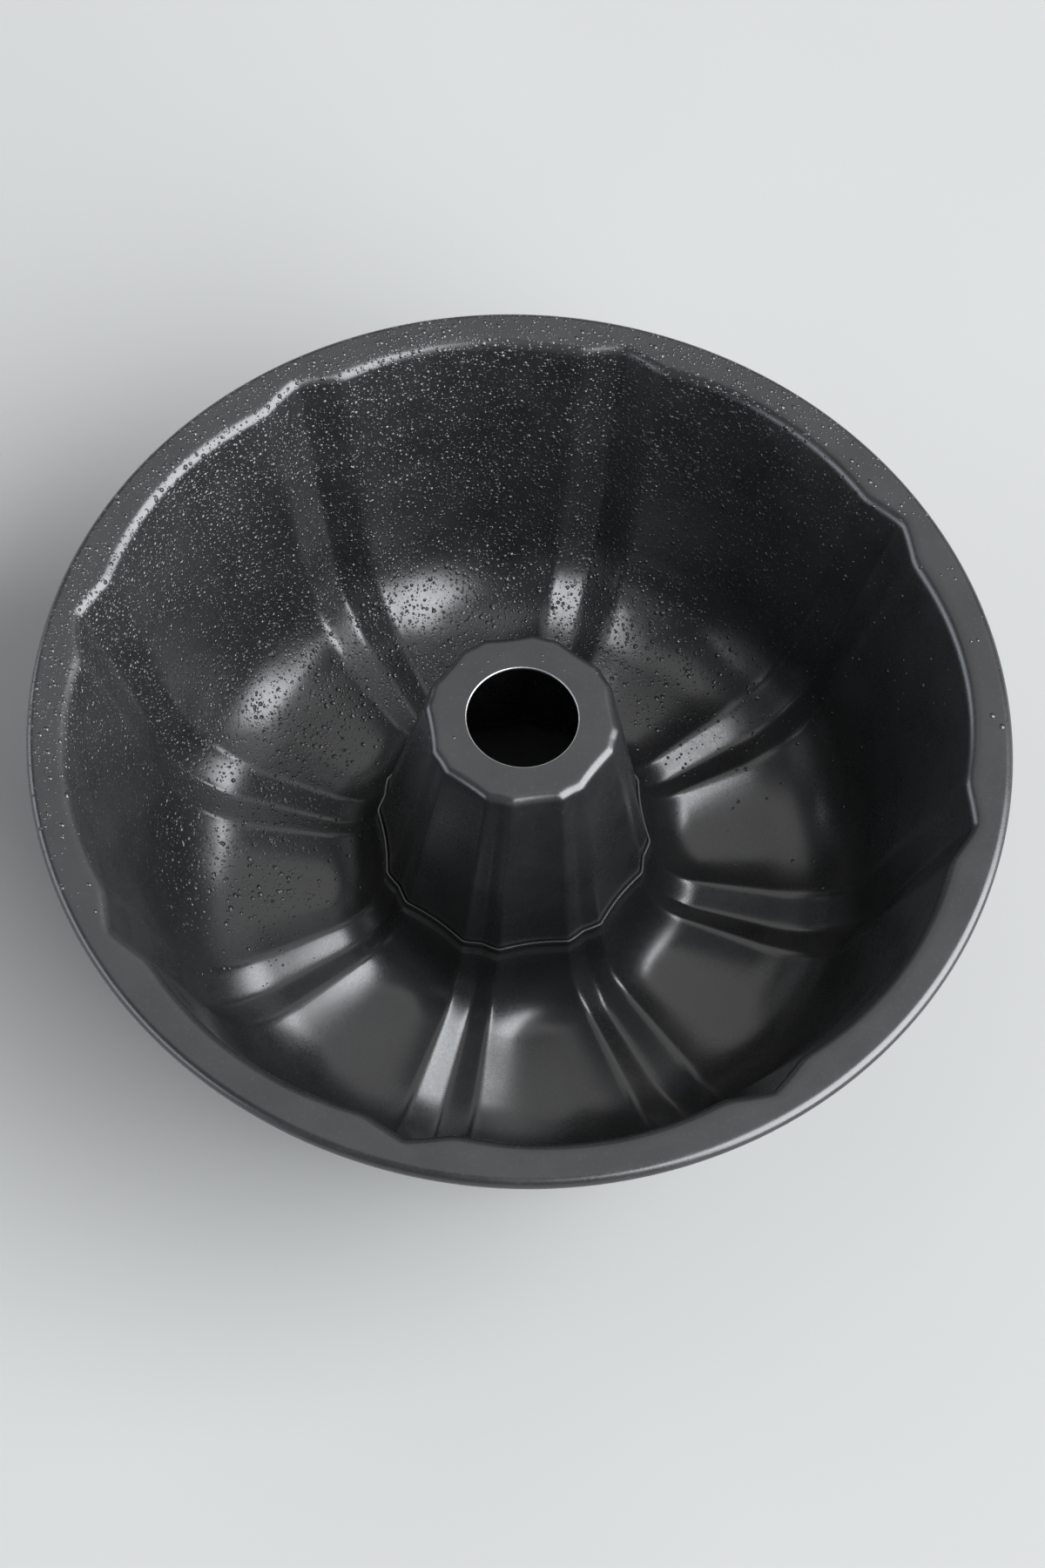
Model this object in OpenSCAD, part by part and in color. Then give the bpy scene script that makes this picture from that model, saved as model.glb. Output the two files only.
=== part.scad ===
// Fluted tube pan for baking ring cakes.
// A drawn sheet-steel shell with a fluted ring-shaped trough, a drawn fluted centre tube
// locked into the shell's collar, and a wire closed inside the rolled rim.
// Millimetres, +Z up. The origin is on the ground, on the axis of the tube.

/* [Overall] */
// Diameter over the rolled rim
rim_d = 250; // [248:1:270]
// Height from the ground to the top of the rim
pan_h = 87; // [80:1:95]
// Thickness of the coated sheet
sheet = 0.7; // [0.6:0.1:0.8]

/* [Rim] */
// Diameter over the rolled edge
curl_d = 4.6; // [4.4:0.1:5]
// How far the rolled edge goes round its wire, in degrees
curl_sweep = 290; // [240:10:300]
// Radius of the bend between the wall and the flange
shoulder_r = 4; // [2:0.1:4.4]

/* [Trough] */
// Diameter of the mouth, measured across the corners between lobes and ribs
mouth_d = 226.5; // [222:0.5:228]
// Lean of the outer wall from the vertical, in degrees
wall_lean = 15.6; // [12:0.2:18]
// Radius of the trough where the floor turns up into the outer wall
outer_bend_r = 24; // [18:1:28]
// Radius of the trough where the floor turns up into the collar
inner_bend_r = 14; // [10:1:15]

/* [Centre tube] */
// Diameter of the tube at its top, measured over the corners of the flutes
tube_top_d = 49.5; // [46:0.5:52]
// Lean of the tube's wall from the vertical, in degrees
tube_lean = 10.8; // [9:0.2:12]
// Radius of the edge between the tube's wall and its flat top
tube_edge_r = 3; // [2:0.1:3.5]
// Diameter of the vent hole
vent_d = 28.4; // [24:0.2:32]

/* [Lock between shell and tube] */
// Height of the collar's top edge above the ground
collar_z = 25; // [24:0.5:28]
// Height of the tube's bottom edge above the ground
skirt_z = 13; // [12:0.5:14]
// Depth of the rolled bead that locks the tube in the collar
bead_depth = 0.9; // [0.6:0.1:1.1]
// Clearance between the lapped sheets
lap_gap = 0.1; // [0.08:0.01:0.15]

/* [Fluting] */
// Number of lobes round the ring
lobes = 8; // [6:1:10]
// Depth of a lobe at the rim
rim_lobe = 1.6; // [1:0.1:2.5]
// Depth of a rib between two lobes at the rim
rim_rib = 3.6; // [2:0.1:4]
// Depth of the lobes under the floor, where they end in flat feet
floor_lobe = 4; // [2:0.1:5]
// Depth of the ribs under the floor
floor_rib = 3.4; // [1.5:0.1:4]
// Depth of a lobe at the top of the tube
tube_lobe = 1.15; // [0.6:0.05:1.5]
// Depth of a rib at the top of the tube
tube_rib = 0.4; // [0.2:0.05:0.8]
// Half width of a rib at the rim, as a share of half the lobe pitch
rim_rib_share = 0.24; // [0.2:0.01:0.35]
// Half width of a rib on the tube, as a share of half the lobe pitch
tube_rib_share = 0.33; // [0.25:0.01:0.4]

/* [Hidden] */

coated_steel = [0.28, 0.28, 0.29];
bare_steel = [0.72, 0.72, 0.73];

rim_r = rim_d / 2;
curl_r = curl_d / 2;
curl_bore_r = curl_r - sheet;
curl_centre_r = rim_r - curl_r;
curl_centre_z = pan_h - curl_r;
wire_r = curl_bore_r - lap_gap;
// The flutes have died out here, so the flange is a plain ring from here to the rolled edge
plain_flange_r = curl_centre_r - 1.3;
flange_join = 0.6;

half_pitch = 180 / lobes;
// Places of the points across half a pitch, from the middle of a rib to the middle of a lobe
half_steps = [0, 0.08, 0.19, 0.3, 0.48, 0.75, 1];
half_count = len(half_steps) - 1;
around = lobes * 2 * half_count;
// Half width of the rounded edge along the middle of a rib
rib_tip = 0.7;
// The lobes are this much too deep under the floor before they are cut off flat as feet
foot_excess = 1.15;
no_limit = 10;

// Fluting at a place: depth of the lobes, depth of the ribs, rib share, roundness of the
// corners, and the most that lobes and ribs may stand out
floor_rib_share = (tube_rib_share + rim_rib_share) / 2;
tube_top_flute = [tube_lobe, tube_rib, tube_rib_share, 0.2, no_limit];
tube_foot_flute = [2 * tube_lobe, 3 * tube_rib, tube_rib_share, 0.25, no_limit];
floor_flute = [floor_lobe * foot_excess, floor_rib, floor_rib_share, 0.5, floor_lobe];
wall_foot_flute = [1.8 * rim_lobe, 1.1 * rim_rib, rim_rib_share, 0.6, no_limit];
rim_flute = [rim_lobe, rim_rib, rim_rib_share, 0.6, no_limit];

// The trough's cavity side runs through the corners between lobes and ribs at this height
floor_z = sheet + floor_lobe;
outer_bend_z = floor_z + outer_bend_r;
inner_bend_z = floor_z + inner_bend_r;
tube_top_r = tube_top_d / 2;
lap = sheet + lap_gap;
bead_z = (collar_z + inner_bend_z) / 2;
bead_half = 2.4;

function mix(a, b, t) = a + (b - a) * t;
// Goes from 0 to 1 with no slope at either end
function ease(t) = t * t * (3 - 2 * t);
function dir(angle) = [cos(angle), sin(angle)];

// Radius of the outer wall, the tube and the collar on their cavity side, at height z
function wall_r(z) = mouth_d / 2 - (pan_h - z) * tan(wall_lean);
function tube_r(z) = tube_top_r + (pan_h - z) * tan(tube_lean);
function collar_r(z) = tube_r(z) + lap / cos(tube_lean);

// Push of the lock bead towards the axis at height z: one smooth wave
function bead(z) = abs(z - bead_z) < bead_half
    ? bead_depth * (1 + cos(180 * (z - bead_z) / bead_half)) / 2
    : 0;

// How far the sheet is pushed out of the trough at share a of half a pitch from a rib's middle,
// r from the axis: a parabola for the lobe and a straight-sided ridge for the rib, blended where
// they cross
function flute_push(a, f, r) =
    let (
        tip = rib_tip / (r * half_pitch * PI / 180),
        lobe = f[0] * (1 - pow((1 - a) / (1 - f[2]), 2)),
        rib = f[1] * (1 - (sqrt(a * a + tip * tip) - tip) / f[2]),
        blend = (lobe + rib + sqrt(pow(lobe - rib, 2) + f[3] * f[3])) / 2
    )
    min(blend, f[4]);

// A station of the sheet's profile: its cavity-side point, the way the sheet's thickness lies,
// the way the flutes push it, and its fluting
function station(point, thick, push, flute) = [point, thick, push, flute];

// The tube's wall at height z, which the collar repeats one sheet further out
tube_thick = -dir(tube_lean);
function tube_flute(z) = mix(tube_foot_flute, tube_top_flute, (z - skirt_z) / (pan_h - skirt_z));
function tube_station(z) =
    station([tube_r(z) - bead(z), z], tube_thick, [-1, 0], tube_flute(z));
function collar_station(z) =
    station([collar_r(z) - bead(z), z], tube_thick, [-1, 0], tube_flute(z));

bead_heights = [for (t = [-1 : 0.5 : 1]) bead_z + t * bead_half];

// Centre tube: flat top, rounded edge, straight wall, lock bead, bottom edge
edge_centre = [
    tube_top_r - tube_edge_r * tan(45 - tube_lean / 2),
    pan_h - tube_edge_r
];
edge_angles = [for (t = [0 : 0.25 : 1]) mix(-90, tube_lean - 180, t)];
tube_profile = concat(
    [station([vent_d / 2 - 2, pan_h], [0, -1], [0, 0], tube_top_flute)],
    [station([vent_d / 2 + 2, pan_h], [0, -1], [0, 0], tube_top_flute)],
    [for (a = edge_angles)
        station(edge_centre - tube_edge_r * dir(a), dir(a), [-1, 0], tube_top_flute)],
    [for (z = [62, 42]) tube_station(z)],
    [for (i = [len(bead_heights) - 1 : -1 : 0]) tube_station(bead_heights[i])],
    [tube_station(skirt_z)]
);

// Shell: collar with the same bead, inner bend, floor, outer bend, wall, shoulder, flange
inner_centre = [
    collar_r(inner_bend_z) + inner_bend_r / cos(tube_lean),
    inner_bend_z
];
outer_centre = [
    wall_r(outer_bend_z) - outer_bend_r / cos(wall_lean),
    outer_bend_z
];
shoulder_centre = [
    mouth_d / 2 + shoulder_r * tan(45 - wall_lean / 2),
    pan_h - shoulder_r
];
wall_mid_z = (outer_bend_z - outer_bend_r * sin(wall_lean)
    + pan_h - shoulder_r * (1 - sin(wall_lean))) / 2;
inner_turn = [for (t = [0 : 0.25 : 1]) [t, mix(tube_lean - 180, -90, t)]];
outer_turn = [for (t = [0 : 0.2 : 1]) [t, mix(-90, -wall_lean, t)]];
shoulder_turn = [for (t = [0 : 0.25 : 1]) mix(-wall_lean, -90, t)];
shell_profile = concat(
    [collar_station(collar_z)],
    [for (i = [len(bead_heights) - 1 : -1 : 0]) collar_station(bead_heights[i])],
    [for (s = inner_turn)
        station(inner_centre + inner_bend_r * dir(s[1]), dir(s[1]),
            dir(mix(-180, -90, ease(s[0]))),
            mix(tube_flute(inner_bend_z), floor_flute, ease(s[0])))],
    [for (s = outer_turn)
        station(outer_centre + outer_bend_r * dir(s[1]), dir(s[1]),
            dir(mix(-90, 0, ease(s[0]))),
            mix(floor_flute, wall_foot_flute, ease(s[0])))],
    [station([wall_r(wall_mid_z), wall_mid_z], dir(-wall_lean), [1, 0],
        mix(wall_foot_flute, rim_flute, 0.5))],
    [for (a = shoulder_turn)
        station(shoulder_centre - shoulder_r * dir(a), dir(a), [1, 0], rim_flute)],
    [station([plain_flange_r, pan_h], [0, -1], [0, 0], rim_flute)]
);

// The share of half a pitch and the direction of each point round a ring
function ring_shares() = [for (k = [0 : 2 * half_count - 1])
    k <= half_count ? half_steps[k] : half_steps[2 * half_count - k]];
shares = ring_shares();
function ring_angle(i) =
    let (lobe = floor(i / (2 * half_count)), k = i % (2 * half_count))
    half_pitch * (2 * lobe + 1 + (k <= half_count ? shares[k] : 2 - shares[k]));

// One ring of points: the station's point, sunk by depth into the sheet, pushed by the flutes
function ring(s, depth) = [for (i = [0 : around - 1])
    let (
        push = flute_push(shares[i % (2 * half_count)], s[3], s[0][0]),
        p = s[0] + s[1] * depth + s[2] * push,
        a = ring_angle(i)
    )
    [p[0] * cos(a), p[0] * sin(a), p[1]]];

// A sheet pressed to a fluted profile: the cavity side out, the underside back, closed all round
module pressed_sheet(profile) {
    last = len(profile) - 1;
    rings = concat(
        [for (i = [0 : last]) ring(profile[i], 0)],
        [for (i = [last : -1 : 0]) ring(profile[i], sheet)]
    );
    count = len(rings);
    polyhedron(
        points = [for (r = rings) each r],
        faces = [for (i = [0 : count - 1], j = [0 : around - 1])
            let (
                a = i * around + j,
                b = i * around + (j + 1) % around,
                c = ((i + 1) % count) * around + (j + 1) % around,
                d = ((i + 1) % count) * around + j
            )
            each [[a, b, c], [a, c, d]]]
    );
}

// The plain outer ring of the flange and the edge rolled under it
module rolled_edge() {
    rotate_extrude($fn = 180) {
        translate([plain_flange_r - flange_join, pan_h - sheet])
            square([curl_centre_r - plain_flange_r + flange_join, sheet]);
        translate([curl_centre_r, curl_centre_z])
            difference() {
                circle(r = curl_r, $fn = 64);
                circle(r = curl_bore_r, $fn = 64);
                polygon([
                    [0, 0],
                    [0, curl_d],
                    [-curl_d, curl_d],
                    curl_d * dir(90 - curl_sweep)
                ]);
            }
    }
}

module fluted_shell() {
    color(coated_steel)
        union() {
            pressed_sheet(shell_profile);
            rolled_edge();
        }
}

module centre_tube() {
    color(coated_steel)
        difference() {
            pressed_sheet(tube_profile);
            translate([0, 0, pan_h - 2 * sheet])
                cylinder(d = vent_d, h = 3 * sheet, $fn = 96);
        }
}

module rim_wire() {
    color(bare_steel)
        rotate_extrude($fn = 180)
            translate([curl_centre_r, curl_centre_z])
                circle(r = wire_r, $fn = 48);
}

fluted_shell();
centre_tube();
rim_wire();
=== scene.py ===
import math

import bpy
import numpy as np
from mathutils import Matrix, Vector


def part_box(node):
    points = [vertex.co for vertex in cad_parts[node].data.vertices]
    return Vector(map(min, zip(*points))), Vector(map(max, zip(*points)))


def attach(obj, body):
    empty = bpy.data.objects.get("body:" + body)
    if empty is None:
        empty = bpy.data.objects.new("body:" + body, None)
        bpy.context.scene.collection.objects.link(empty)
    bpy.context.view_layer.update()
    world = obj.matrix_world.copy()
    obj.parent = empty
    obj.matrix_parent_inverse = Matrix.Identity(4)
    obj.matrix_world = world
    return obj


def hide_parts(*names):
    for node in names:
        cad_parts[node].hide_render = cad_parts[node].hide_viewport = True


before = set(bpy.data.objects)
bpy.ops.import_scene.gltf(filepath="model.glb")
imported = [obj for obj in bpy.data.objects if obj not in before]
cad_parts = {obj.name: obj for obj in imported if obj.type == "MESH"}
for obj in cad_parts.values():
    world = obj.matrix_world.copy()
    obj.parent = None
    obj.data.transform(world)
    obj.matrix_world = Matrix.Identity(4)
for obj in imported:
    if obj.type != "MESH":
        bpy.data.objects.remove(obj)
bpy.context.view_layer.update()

# ---------------------------------------------------------------------------
# Sizes, in metres. The outside of the pan comes from the frame, and the rest
# repeats the pan's own design values.
# ---------------------------------------------------------------------------
MM = 0.001
rim_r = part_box("fluted_shell")[1].x
pan_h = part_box("fluted_shell")[1].z
skirt_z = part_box("centre_tube")[0].z

sheet = 0.7 * MM
curl_r = 2.3 * MM
curl_sweep = 290
shoulder_r = 4 * MM
mouth_r = 113.25 * MM
wall_lean = 15.6
outer_bend_r = 24 * MM
inner_bend_r = 14 * MM
tube_top_r = 24.75 * MM
tube_lean = 10.8
tube_edge_r = 3 * MM
vent_r = 14.2 * MM
collar_z = 25 * MM
bead_depth = 0.9 * MM
bead_half = 2.4 * MM
vent_round = 0.3 * MM     # the vent's top corner, worn round
edge_bulge = 0.08 * MM    # how far a cut edge is rounded out
lap_gap = 0.1 * MM
lobes = 8

curl_bore_r = curl_r - sheet
curl_centre = np.array([rim_r - curl_r, pan_h - curl_r])
wire_r = curl_bore_r - lap_gap
half_pitch = 180 / lobes
rib_tip = 0.7 * MM        # half width of the rounded edge along a rib
limit_round = 0.5 * MM    # roundness where the lobes flatten into feet

# Depth of the lobes and of the ribs, and half width of a rib as a share of half
# a lobe pitch
tube_lobe = 1.15 * MM
tube_rib = 0.4 * MM
tube_rib_share = 0.33
floor_lobe = 4 * MM
floor_rib = 3.4 * MM
floor_rib_share = 0.285
rim_lobe = 1.6 * MM
rim_rib = 3.6 * MM
rim_rib_share = 0.24
foot_excess = 1.15        # how much deeper the lobes would be if they weren't flattened
foot_limit = 1.026        # brings the flattened feet down to the ground
no_limit = 10 * MM

# Fluting: lobe depth, rib depth, rib share, roundness where lobe and rib meet,
# and the most that a flute stands out
tube_top_flute = np.array([tube_lobe, tube_rib, tube_rib_share, 0.2 * MM, no_limit])
tube_foot_flute = np.array([2 * tube_lobe, 3 * tube_rib, tube_rib_share, 0.25 * MM, no_limit])
floor_flute = np.array([foot_excess * floor_lobe, floor_rib, floor_rib_share, 0.5 * MM,
                        foot_limit * floor_lobe])
wall_foot_flute = np.array([1.8 * rim_lobe, 1.1 * rim_rib, rim_rib_share, 0.6 * MM, no_limit])
rim_flute = np.array([rim_lobe, rim_rib, rim_rib_share, 0.6 * MM, no_limit])

floor_z = sheet + floor_lobe
outer_bend_z = floor_z + outer_bend_r
inner_bend_z = floor_z + inner_bend_r
bead_z = (collar_z + inner_bend_z) / 2

half_steps = 26           # steps across half a lobe pitch
crowding = 1.2            # 1 spaces them evenly, more draws them to the ribs
lock_points = 13          # points up the lock bead
bend_points = 12          # points round the tube's edge and the inner bend
vent_bands = 4            # bands round the vent's worn corner


# ---------------------------------------------------------------------------
# The pressed sheet: a profile of stations carried round the axis
# ---------------------------------------------------------------------------
def mix(a, b, t):
    """The straight line from a at t = 0 to b at t = 1."""
    return a + (b - a) * t


def ease(t):
    """3 t squared minus 2 t cubed: leaves 0 and reaches 1 with no slope."""
    return t * t * (3 - 2 * t)


def direction(degrees):
    """Unit vectors (cos, sin) in the plane of the profile, one row per angle."""
    a = np.radians(np.atleast_1d(np.asarray(degrees, float)))
    return np.stack([np.cos(a), np.sin(a)], 1)


def tan(degrees):
    return math.tan(math.radians(degrees))


def cos(degrees):
    return math.cos(math.radians(degrees))


def wall_radius(z):
    """The outer wall's cavity side: a cone that leans out by wall_lean."""
    return mouth_r - (pan_h - z) * tan(wall_lean)


def tube_radius(z):
    """The tube's cavity side: a cone that widens downwards by tube_lean."""
    return tube_top_r + (pan_h - z) * tan(tube_lean)


def bead(z):
    """The lock bead's push towards the axis: one raised cosine wave."""
    wave = bead_depth * (1 + np.cos(np.pi * (z - bead_z) / bead_half)) / 2
    return np.where(np.abs(z - bead_z) < bead_half, wave, 0)


def tube_flute(z):
    """The tube's fluting, which grows evenly from its top down to its skirt."""
    t = (np.asarray(z)[:, None] - skirt_z) / (pan_h - skirt_z)
    return mix(tube_foot_flute, tube_top_flute, t)


def flute_push(share, flute, radius):
    """How far a flute stands out of the trough. share is 0 in the middle of a
    rib and 1 in the middle of a lobe. A parabola for the lobe and a ridge with
    straight sides for the rib are blended where they cross by half of
    (lobe + rib + root of (lobe - rib) squared plus roundness squared). The
    same formula with a minus sign holds the flute below its greatest depth."""
    lobe_depth, rib_depth, half_width, round_off, most = flute.T[:, :, None]
    tip = rib_tip / (radius[:, None] * np.radians(half_pitch))
    lobe = lobe_depth * (1 - ((1 - share) / (1 - half_width)) ** 2)
    rib = rib_depth * (1 - (np.sqrt(share ** 2 + tip ** 2) - tip) / half_width)
    blend = (lobe + rib + np.sqrt((lobe - rib) ** 2 + round_off ** 2)) / 2
    return (blend + most - np.sqrt((most - blend) ** 2 + limit_round ** 2)) / 2


def stations(point, thick, push, flute):
    """A stretch of profile as four arrays of equal length: its cavity-side
    points, the way the sheet's thickness lies, the way the flutes push it, and
    its fluting. Single rows are repeated."""
    n = max(len(np.atleast_2d(x)) for x in (point, thick, push, flute))
    return [np.broadcast_to(np.atleast_2d(x), (n, np.atleast_2d(x).shape[1]))
            for x in (point, thick, push, flute)]


def joined(*stretches):
    """Stretches of profile end to end."""
    return [np.concatenate(parts) for parts in zip(*stretches)]


def cone_stretch(radius, heights, extra=0.0):
    """A leaning wall of the tube or collar from the first height to the last,
    with the lock bead pressed into it."""
    r = radius(heights) + extra - bead(heights)
    return stations(np.stack([r, heights], 1), -direction(tube_lean), [[-1, 0]],
                    tube_flute(heights))


def lock_heights():
    """Heights down the lock bead, from its top to its foot."""
    return np.linspace(bead_z + bead_half, bead_z - bead_half, lock_points)


def tube_profile():
    """Vent edge with its top corner worn round, flat top, rounded edge, leaning
    wall, lock bead, skirt edge."""
    flat_end = tube_top_r - tube_edge_r * tan(45 - tube_lean / 2)
    centre = np.array([flat_end, pan_h - tube_edge_r])
    turn = 1 - direction(np.linspace(0, 90, vent_bands + 1))
    flat_r = np.linspace(vent_r + 0.7 * MM, flat_end - 0.4 * MM, 8)
    top_r = np.concatenate([vent_r + vent_round * turn[:, 0], flat_r])
    drop = np.concatenate([vent_round * turn[:, 1], np.zeros(len(flat_r))])
    push = ease(np.clip((top_r - vent_r - vent_round) / (flat_end - vent_r - vent_round), 0, 1))
    top = stations(np.stack([top_r, pan_h - drop], 1),
                   np.stack([0 * drop, drop / sheet - 1], 1),
                   np.stack([-push, 0 * push], 1), tube_top_flute)
    turn = direction(mix(-90, tube_lean - 180, np.linspace(0, 1, bend_points)))
    edge = stations(centre - tube_edge_r * turn, turn, [[-1, 0]], tube_top_flute)
    edge_end = pan_h - tube_edge_r * (1 - math.sin(math.radians(tube_lean)))
    wall = cone_stretch(tube_radius, np.linspace(edge_end, bead_z + bead_half, 16)[1:-1])
    lock = cone_stretch(tube_radius, lock_heights())
    skirt = cone_stretch(tube_radius, np.linspace(bead_z - bead_half, skirt_z, 5)[1:])
    return joined(top, edge, wall, lock, skirt)


def shell_profile():
    """Collar edge, lock bead, inner bend, floor, outer bend, wall, shoulder,
    flange, and the edge rolled round the wire."""
    lap = (sheet + lap_gap) / cos(tube_lean)
    collar = cone_stretch(tube_radius, np.linspace(collar_z, bead_z + bead_half, 4)[:-1], lap)
    lock = cone_stretch(tube_radius, lock_heights(), lap)
    inner_centre = np.array([tube_radius(inner_bend_z) + lap + inner_bend_r / cos(tube_lean),
                             inner_bend_z])
    t = np.linspace(0, 1, bend_points)[:, None]
    turn = direction(mix(tube_lean - 180, -90, t[:, 0]))
    collar_flute = tube_flute(np.array([inner_bend_z]))
    inner = stations(inner_centre + inner_bend_r * turn, turn,
                     direction(mix(-180, -90, ease(t[:, 0]))),
                     mix(collar_flute, floor_flute, ease(t)))
    outer_centre = np.array([wall_radius(outer_bend_z) - outer_bend_r / cos(wall_lean),
                             outer_bend_z])
    floor_r = np.linspace(inner_centre[0], outer_centre[0], 5)[1:-1]
    floor = stations(np.stack([floor_r, np.full(len(floor_r), floor_z)], 1), [[0, -1]],
                     [[0, -1]], floor_flute)
    t = np.linspace(0, 1, 18)[:, None]
    turn = direction(mix(-90, -wall_lean, t[:, 0]))
    outer = stations(outer_centre + outer_bend_r * turn, turn,
                     direction(mix(-90, 0, ease(t[:, 0]))),
                     mix(floor_flute, wall_foot_flute, ease(t)))
    low = outer[0][-1][1]
    high = pan_h - shoulder_r * (1 - math.sin(math.radians(wall_lean)))
    t = np.linspace(0, 1, 12)[1:-1, None]
    z = mix(low, high, t[:, 0])
    wall = stations(np.stack([wall_radius(z), z], 1), direction(-wall_lean), [[1, 0]],
                    mix(wall_foot_flute, rim_flute, ease(t)))
    centre = np.array([mouth_r + shoulder_r * tan(45 - wall_lean / 2), pan_h - shoulder_r])
    turn = direction(mix(-wall_lean, -90, np.linspace(0, 1, 10)))
    shoulder = stations(centre - shoulder_r * turn, turn, [[1, 0]], rim_flute)
    t = np.linspace(0, 1, 6)[1:-1]
    flange_r = mix(centre[0], curl_centre[0], t)
    flange = stations(np.stack([flange_r, np.full(len(t), pan_h)], 1), [[0, -1]],
                      np.stack([1 - t, 0 * t], 1), rim_flute)
    turn = direction(np.linspace(90, 90 - curl_sweep, 36))
    curl = stations(curl_centre + curl_r * turn, -turn, [[0, 0]], rim_flute)
    return joined(collar, lock, inner, floor, outer, wall, shoulder, flange, curl)


def around_shares():
    """Angles of the points round a ring, closer together at the ribs, and
    each one's share of the way from its rib to the middle of its lobe."""
    half = np.linspace(0, 1, half_steps + 1) ** crowding
    one = np.concatenate([half[:-1], 2 - half[:0:-1]])
    turns = np.arange(lobes)[:, None] * 2 + 1 + one
    share = np.tile(np.where(one <= 1, one, 2 - one), lobes)
    return np.radians(half_pitch * turns.ravel()), share


def sheet_loop(profile):
    """The rings of a pressed sheet, as an array (rings, around, 3): its cavity
    side from first station to last, a rounded cut edge, the underside back,
    and a rounded cut edge again, which closes the loop. Also each ring's
    distance into the sheet, from 0 on the cavity side to 1 on the underside."""
    point, thick, push, flute = profile
    last = len(point) - 1
    edge = [0.12, 0.35, 0.65, 0.88]
    index = np.concatenate([np.arange(last + 1), [last] * len(edge),
                            np.arange(last, -1, -1), [0] * len(edge)])
    depth = np.concatenate([np.zeros(last + 1), edge, np.ones(last + 1), edge[::-1]])
    angle, share = around_shares()
    along = np.gradient(point, axis=0)
    along /= np.linalg.norm(along, axis=1)[:, None]
    bulge = edge_bulge * np.sin(np.pi * depth)[:, None]
    sign = np.where(index == last, 1.0, -1.0)[:, None]
    base = point[index] + thick[index] * depth[:, None] * sheet + along[index] * bulge * sign
    outward = flute_push(share, flute[index], point[index][:, 0])
    r = base[:, 0, None] + push[index][:, 0, None] * outward
    z = np.maximum(base[:, 1, None] + push[index][:, 1, None] * outward, 0)
    return np.stack([r * np.cos(angle), r * np.sin(angle), z], 2), depth


def closed_mesh(name, rings, clockwise=False):
    """A mesh from rings of points, closed round the axis and from the last
    ring back to the first. Quads between ring i and i + 1, point j and j + 1.
    Where the rings follow each other clockwise, seen with the axis on the left,
    a quad's corners are taken the other way round from its first one, so that
    the faces point outwards."""
    count, around = rings.shape[:2]
    i, j = np.meshgrid(np.arange(count), np.arange(around), indexing="ij")
    i2, j2 = (i + 1) % count, (j + 1) % around
    quads = np.stack([i * around + j, i * around + j2, i2 * around + j2, i2 * around + j], 2)
    if clockwise:
        quads = quads[:, :, [0, 3, 2, 1]]
    quads = quads.reshape(-1, 4)
    mesh = bpy.data.meshes.new(name)
    mesh.vertices.add(count * around)
    mesh.vertices.foreach_set("co", rings.astype(np.float32).ravel())
    mesh.loops.add(quads.size)
    mesh.loops.foreach_set("vertex_index", quads.astype(np.int32).ravel())
    mesh.polygons.add(len(quads))
    mesh.polygons.foreach_set("loop_start", np.arange(0, quads.size, 4, dtype=np.int32))
    mesh.polygons.foreach_set("use_smooth", np.ones(len(quads), bool))
    mesh.update(calc_edges=True)
    mesh.validate()
    piece = bpy.data.objects.new(name, mesh)
    bpy.context.scene.collection.objects.link(piece)
    return piece


def pressed_piece(name, profile, bare=0):
    """A pressed sheet as a piece. Material slot 0 is its cavity side, 1 its cut
    edges and the first bare bands of the cavity side, and 2 its underside."""
    rings, depth = sheet_loop(profile)
    piece = closed_mesh(name, rings, clockwise=True)
    after = np.roll(depth, -1)
    slots = np.where((depth == 1) & (after == 1), 2, 1)
    slots[(depth == 0) & (after == 0)] = 0
    slots[:bare] = 1
    slots = np.repeat(slots.astype(np.int32), rings.shape[1])
    piece.data.polygons.foreach_set("material_index", slots)
    return piece


def wire_piece(name):
    """A torus: a circle of the wire's radius carried round inside the rolled edge."""
    round_wire = direction(np.linspace(0, 360, 20, endpoint=False)) * wire_r + curl_centre
    angle = np.linspace(0, 2 * np.pi, 360, endpoint=False)
    r, z = round_wire[:, 0, None], round_wire[:, 1, None]
    rings = np.stack([r * np.cos(angle), r * np.sin(angle), z + 0 * angle], 2)
    return closed_mesh(name, rings)


# ---------------------------------------------------------------------------
# Materials
# ---------------------------------------------------------------------------
coating_dark = (0.0095, 0.0097, 0.0103)
coating_pale = (0.0145, 0.0145, 0.0149)
coating_ior = 1.68
cloud_size = 14 * MM      # patches of the coating's two tones
fleck_size = 0.9 * MM
fleck_colour = (0.028, 0.028, 0.028)
wave_size = 26 * MM       # the sheet's gentle unevenness
wave_height = 0.25        # in mm
peel_size = 0.45 * MM     # orange-peel grain
peel_height = 0.012       # in mm

grease_x, grease_y = -0.34, 0.94      # the way from the tube to the thickest grease
# The drops' paler middles are partly the grease's own tint and partly a painted highlight for
# the glint each drop catches.
grease_tint_and_glint = (0.075, 0.075, 0.072)
grease_tint_and_glint_share = 0.55    # how far a drop's middle takes the grease's tint and its painted highlight
grease_gloss = 0.18       # how much less rough a drop's middle is
# Cell size, smallest drop and largest drop of the three layers
coarse_drops = (1.7 * MM, 0.34 * MM, 0.84 * MM)
middle_drops = (1.2 * MM, 0.24 * MM, 0.58 * MM)
fine_drops = (0.8 * MM, 0.16 * MM, 0.36 * MM)
drop_rise = 0.6           # a drop's height as a share of its radius


def new_material(name):
    """A material with its node tree and its surface shader."""
    material = bpy.data.materials.new(name)
    material.use_nodes = True
    return material, material.node_tree, material.node_tree.nodes["Principled BSDF"]


def plug(tree, value, socket):
    """Joins an output to a socket, or sets the socket to a plain value."""
    if isinstance(value, bpy.types.NodeSocket):
        tree.links.new(value, socket)
    else:
        socket.default_value = value


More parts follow.
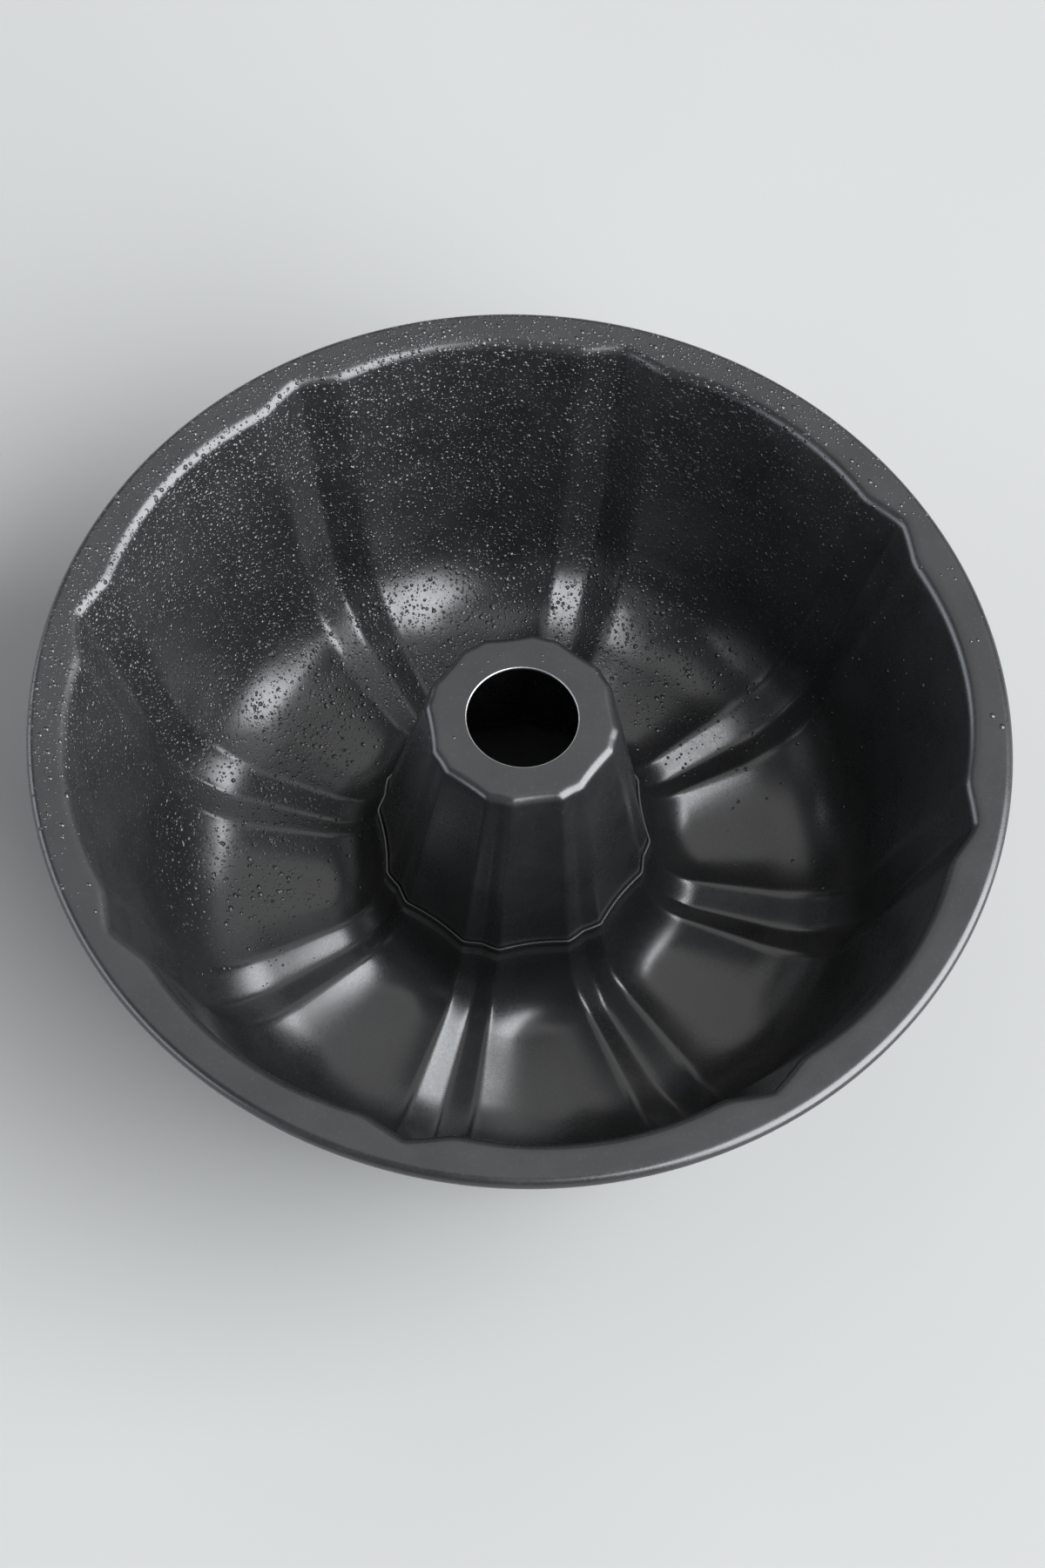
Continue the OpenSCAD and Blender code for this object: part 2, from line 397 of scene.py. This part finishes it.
def calc(tree, operation, a, b=0.0, clamp=False):
    """One sum on two values, each an output or a number."""
    step = tree.nodes.new("ShaderNodeMath")
    step.operation = operation
    step.use_clamp = clamp
    plug(tree, a, step.inputs[0])
    plug(tree, b, step.inputs[1])
    return step.outputs[0]


def spread(tree, value, low, high, to_low=0.0, to_high=1.0, smooth=False):
    """Maps low..high to to_low..to_high and holds it there at both ends."""
    step = tree.nodes.new("ShaderNodeMapRange")
    step.interpolation_type = "SMOOTHSTEP" if smooth else "LINEAR"
    for key, number in (("Value", value), ("From Min", low), ("From Max", high),
                        ("To Min", to_low), ("To Max", to_high)):
        plug(tree, number, step.inputs[key])
    return step.outputs["Result"]


def blend_colour(tree, factor, first, second):
    """A colour between two colours; each is an output or three numbers."""
    step = tree.nodes.new("ShaderNodeMix")
    step.data_type = "RGBA"
    plug(tree, factor, step.inputs[0])
    for colour, socket in ((first, step.inputs[6]), (second, step.inputs[7])):
        plug(tree, colour if isinstance(colour, bpy.types.NodeSocket) else (*colour, 1), socket)
    return step.outputs[2]


def noise(tree, coords, size, detail=2.0, roughness=0.5):
    """Soft noise about 0.5 whose features are about size metres across."""
    step = tree.nodes.new("ShaderNodeTexNoise")
    plug(tree, coords, step.inputs["Vector"])
    step.inputs["Scale"].default_value = 1 / size
    step.inputs["Detail"].default_value = detail
    step.inputs["Roughness"].default_value = roughness
    return step.outputs["Fac"]


def add_relief(tree, shader, height, unit):
    """Tilts the surface as if it stood out by height times unit, in metres."""
    bump = tree.nodes.new("ShaderNodeBump")
    bump.inputs["Distance"].default_value = unit
    plug(tree, height, bump.inputs["Height"])
    plug(tree, bump.outputs["Normal"], shader.inputs["Normal"])


def droplets(tree, coords, sizes, cover):
    """Drops of grease, one in each cell of a random pattern where the cell's
    own random number is below cover. A drop is 1 - (distance / radius) squared,
    all squared, and nothing outside its radius, so its foot runs out smoothly.
    Returns that shape, and its height in mm."""
    spacing, smallest, largest = sizes
    cells = tree.nodes.new("ShaderNodeTexVoronoi")
    plug(tree, coords, cells.inputs["Vector"])
    cells.inputs["Scale"].default_value = 1 / spacing
    parts = tree.nodes.new("ShaderNodeSeparateColor")
    tree.links.new(cells.outputs["Color"], parts.inputs[0])
    squared = calc(tree, "MULTIPLY", parts.outputs[0], parts.outputs[0])
    radius = spread(tree, squared, 0, 1, smallest / spacing, largest / spacing)
    reach = calc(tree, "DIVIDE", cells.outputs["Distance"], radius)
    dome = calc(tree, "SUBTRACT", 1.0, calc(tree, "MULTIPLY", reach, reach), clamp=True)
    there = calc(tree, "LESS_THAN", parts.outputs[1], cover)
    drop = calc(tree, "MULTIPLY", calc(tree, "MULTIPLY", dome, dome), there)
    height = calc(tree, "MULTIPLY", calc(tree, "MULTIPLY", drop, radius),
                  drop_rise * spacing / MM)
    return drop, height


def grease(tree, coords):
    """Drops of grease in three sizes, thickest towards the wall's far left and
    thinning out over half the pan, with a few strays on the far right. Hardly
    any lie near the tube. Returns how wet a place is, from 0 to 1, and the
    drops' height in mm."""
    place = tree.nodes.new("ShaderNodeSeparateXYZ")
    tree.links.new(coords, place.inputs[0])
    x, y = place.outputs[:2]
    squares = calc(tree, "ADD", calc(tree, "MULTIPLY", x, x), calc(tree, "MULTIPLY", y, y))
    radius = calc(tree, "SQRT", squares)
    toward = calc(tree, "ADD", calc(tree, "MULTIPLY", y, grease_y),
                  calc(tree, "MULTIPLY", x, grease_x))
    side = spread(tree, calc(tree, "DIVIDE", toward, radius), -0.1, 0.75, smooth=True)
    clear_of_tube = spread(tree, radius, 42 * MM, 62 * MM, 0.05, 1.0)
    patches = spread(tree, noise(tree, coords, 30 * MM, 3.0), 0.34, 0.56, 0.55, 1.0)
    cover = calc(tree, "MULTIPLY", calc(tree, "MULTIPLY", side, clear_of_tube), patches)
    strays = spread(tree, calc(tree, "DIVIDE", y, radius), -0.3, 0.5, 0.0, 0.14)
    coarse_cover = calc(tree, "MAXIMUM", cover, strays)
    coarse, coarse_height = droplets(tree, coords, coarse_drops, coarse_cover)
    middle, middle_height = droplets(tree, coords, middle_drops, cover)
    fine, fine_height = droplets(tree, coords, fine_drops, cover)
    wet = calc(tree, "ADD", calc(tree, "ADD", coarse, middle), fine, clamp=True)
    height = calc(tree, "ADD", calc(tree, "ADD", coarse_height, middle_height), fine_height)
    return wet, height


def coating_material(name, greased):
    """Satin dark non-stick coating with a fine orange-peel grain and paler
    flecks over gently uneven sheet, with or without grease on it. Heights are
    in mm."""
    material, tree, shader = new_material(name)
    coords = tree.nodes.new("ShaderNodeTexCoord").outputs["Object"]
    cloud = noise(tree, coords, cloud_size, 4.0)
    fleck = noise(tree, coords, fleck_size, 2.0)
    colour = blend_colour(tree, spread(tree, cloud, 0.3, 0.7), coating_dark, coating_pale)
    colour = blend_colour(tree, spread(tree, fleck, 0.62, 0.78, 0, 0.6), colour, fleck_colour)
    rough = spread(tree, cloud, 0.3, 0.7, 0.26, 0.32)
    rough = calc(tree, "ADD", rough, spread(tree, fleck, 0.3, 0.7, -0.03, 0.03))
    waves = calc(tree, "MULTIPLY", noise(tree, coords, wave_size, 1.0), wave_height)
    peel = calc(tree, "MULTIPLY", noise(tree, coords, peel_size, 2.0), peel_height)
    height = calc(tree, "ADD", waves, peel)
    if greased:
        wet, drop_height = grease(tree, coords)
        height = calc(tree, "ADD", height, drop_height)
        # Paler drop middles: partly the grease's own tint, partly a painted highlight for each
        # drop's glint.
        colour = blend_colour(tree, calc(tree, "MULTIPLY", wet, grease_tint_and_glint_share), colour,
                              grease_tint_and_glint)
        rough = calc(tree, "SUBTRACT", rough, calc(tree, "MULTIPLY", wet, grease_gloss))
    plug(tree, colour, shader.inputs["Base Color"])
    plug(tree, rough, shader.inputs["Roughness"])
    shader.inputs["IOR"].default_value = coating_ior
    add_relief(tree, shader, height, MM)
    return material


def steel_material(name, bright, dark, roughness, streak):
    """Bare steel with fine streaks. It is bright at the top of the pan, and darker low down."""
    material, tree, shader = new_material(name)
    coords = tree.nodes.new("ShaderNodeTexCoord").outputs["Object"]
    place = tree.nodes.new("ShaderNodeSeparateXYZ")
    tree.links.new(coords, place.inputs[0])
    streaks = noise(tree, coords, streak, 3.0, 0.6)
    # Darker low down: the colour fades from dark at 30 mm to bright at 70 mm up the pan.
    height_fade = spread(tree, place.outputs[2], 30 * MM, 70 * MM)
    colour = blend_colour(tree, height_fade, dark, bright)
    colour = blend_colour(tree, spread(tree, streaks, 0.35, 0.75, 0, 0.5), colour, dark)
    plug(tree, colour, shader.inputs["Base Color"])
    plug(tree, spread(tree, streaks, 0.3, 0.7, roughness - 0.08, roughness + 0.1),
         shader.inputs["Roughness"])
    shader.inputs["Metallic"].default_value = 1.0
    add_relief(tree, shader, streaks, 0.01 * MM)
    return material


# ---------------------------------------------------------------------------
# Pieces
# ---------------------------------------------------------------------------
inner_coating = coating_material("nonstick_coating_inside", greased=True)
outer_coating = coating_material("nonstick_coating_outside", greased=False)
cut_steel = steel_material("cut_sheet_edge", (0.50, 0.50, 0.50), (0.10, 0.10, 0.10), 0.36,
                           0.4 * MM)
wire_steel = steel_material("rim_wire_steel", (0.56, 0.56, 0.57), (0.30, 0.30, 0.30), 0.3,
                            0.5 * MM)

shell = pressed_piece("pressed_shell", shell_profile())
tube = pressed_piece("fluted_tube", tube_profile(), bare=vent_bands)
wire = wire_piece("wire_ring")
for piece, cad_node in ((shell, "fluted_shell"), (tube, "centre_tube")):
    for material in (inner_coating, cut_steel, outer_coating):
        piece.data.materials.append(material)
    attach(piece, "root")
    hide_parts(cad_node)
wire.data.materials.append(wire_steel)
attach(wire, "root")
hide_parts("rim_wire")

# ---------------------------------------------------------------------------
# Stage: pale floor, soft light, camera
# ---------------------------------------------------------------------------
rim_centre = Vector((0, 0, pan_h))
view_azimuth = -12.9     # the camera's place round the pan, from the -Y side
view_elevation = 62.85
view_roll = -4.74
view_distance = 6.35 * rim_r
view_lift = 0.136 * rim_r


def placed(azimuth, elevation, distance):
    """A point at a distance from the rim's centre; azimuth 0 is the -Y side."""
    a, e = math.radians(azimuth), math.radians(elevation)
    way = Vector((math.sin(a) * math.cos(e), -math.cos(a) * math.cos(e), math.sin(e)))
    return rim_centre + way * distance


def make_camera():
    """The camera looks at the rim's centre from view_distance, rolled a little,
    and is then shifted so that the pan sits where it should in the frame."""
    camera = bpy.data.objects.new("camera", bpy.data.cameras.new("camera"))
    bpy.context.scene.collection.objects.link(camera)
    camera.data.lens = 72
    camera.data.sensor_width = 36
    camera.data.clip_end = 50
    back = placed(view_azimuth, view_elevation, 1) - rim_centre
    facing = back.to_track_quat("Z", "Y").to_matrix()
    rolled = facing @ Matrix.Rotation(math.radians(-view_roll), 3, "Z")
    place = rim_centre + back * view_distance
    place -= rolled @ Vector((0, view_lift, 0))
    camera.matrix_world = Matrix.LocRotScale(place, rolled.to_quaternion(), None)
    bpy.context.scene.camera = camera


def area_light(name, azimuth, elevation, distance, size, watts, colour):
    """A soft box that faces the pan. The camera itself doesn't see it."""
    lamp = bpy.data.lights.new(name, "AREA")
    lamp.shape = "RECTANGLE"
    lamp.size, lamp.size_y = size
    lamp.energy = watts
    lamp.color = colour
    light = bpy.data.objects.new(name, lamp)
    light.visible_camera = False
    bpy.context.scene.collection.objects.link(light)
    place = placed(azimuth, elevation, distance)
    light.location = place
    light.rotation_euler = (place - rim_centre).to_track_quat("Z", "Y").to_euler()


def make_floor():
    """A wide pale matt floor under the pan."""
    bpy.ops.mesh.primitive_plane_add(size=60, location=(0, 0, 0))
    floor = bpy.context.object
    floor.name = "floor"
    material, tree, shader = new_material("pale_floor")
    coords = tree.nodes.new("ShaderNodeTexCoord").outputs["Object"]
    plug(tree, blend_colour(tree, noise(tree, coords, 0.2, 2.0), (0.33, 0.328, 0.32),
                            (0.36, 0.358, 0.35)), shader.inputs["Base Color"])
    shader.inputs["Roughness"].default_value = 0.9
    shader.inputs["Specular IOR Level"].default_value = 0.0
    floor.data.materials.append(material)


make_camera()
make_floor()
area_light("window", view_azimuth + 73, elevation=32, distance=4.8, size=(6.4, 5.8),
           watts=1080, colour=(0.94, 0.97, 1.0))
area_light("low_window", view_azimuth - 82, elevation=13, distance=2.4, size=(3.8, 1.15),
           watts=44, colour=(0.86, 0.93, 1.0))
area_light("overhead", view_azimuth + 180, elevation=62, distance=1.5, size=(2.2, 2.2),
           watts=11, colour=(1.0, 0.99, 0.98))
world = bpy.data.worlds.new("studio")
bpy.context.scene.world = world
world.use_nodes = True
room = world.node_tree.nodes["Background"]
room.inputs["Color"].default_value = (0.80, 0.85, 0.92, 1)
room.inputs["Strength"].default_value = 0.25
bpy.context.scene.view_settings.view_transform = "Standard"
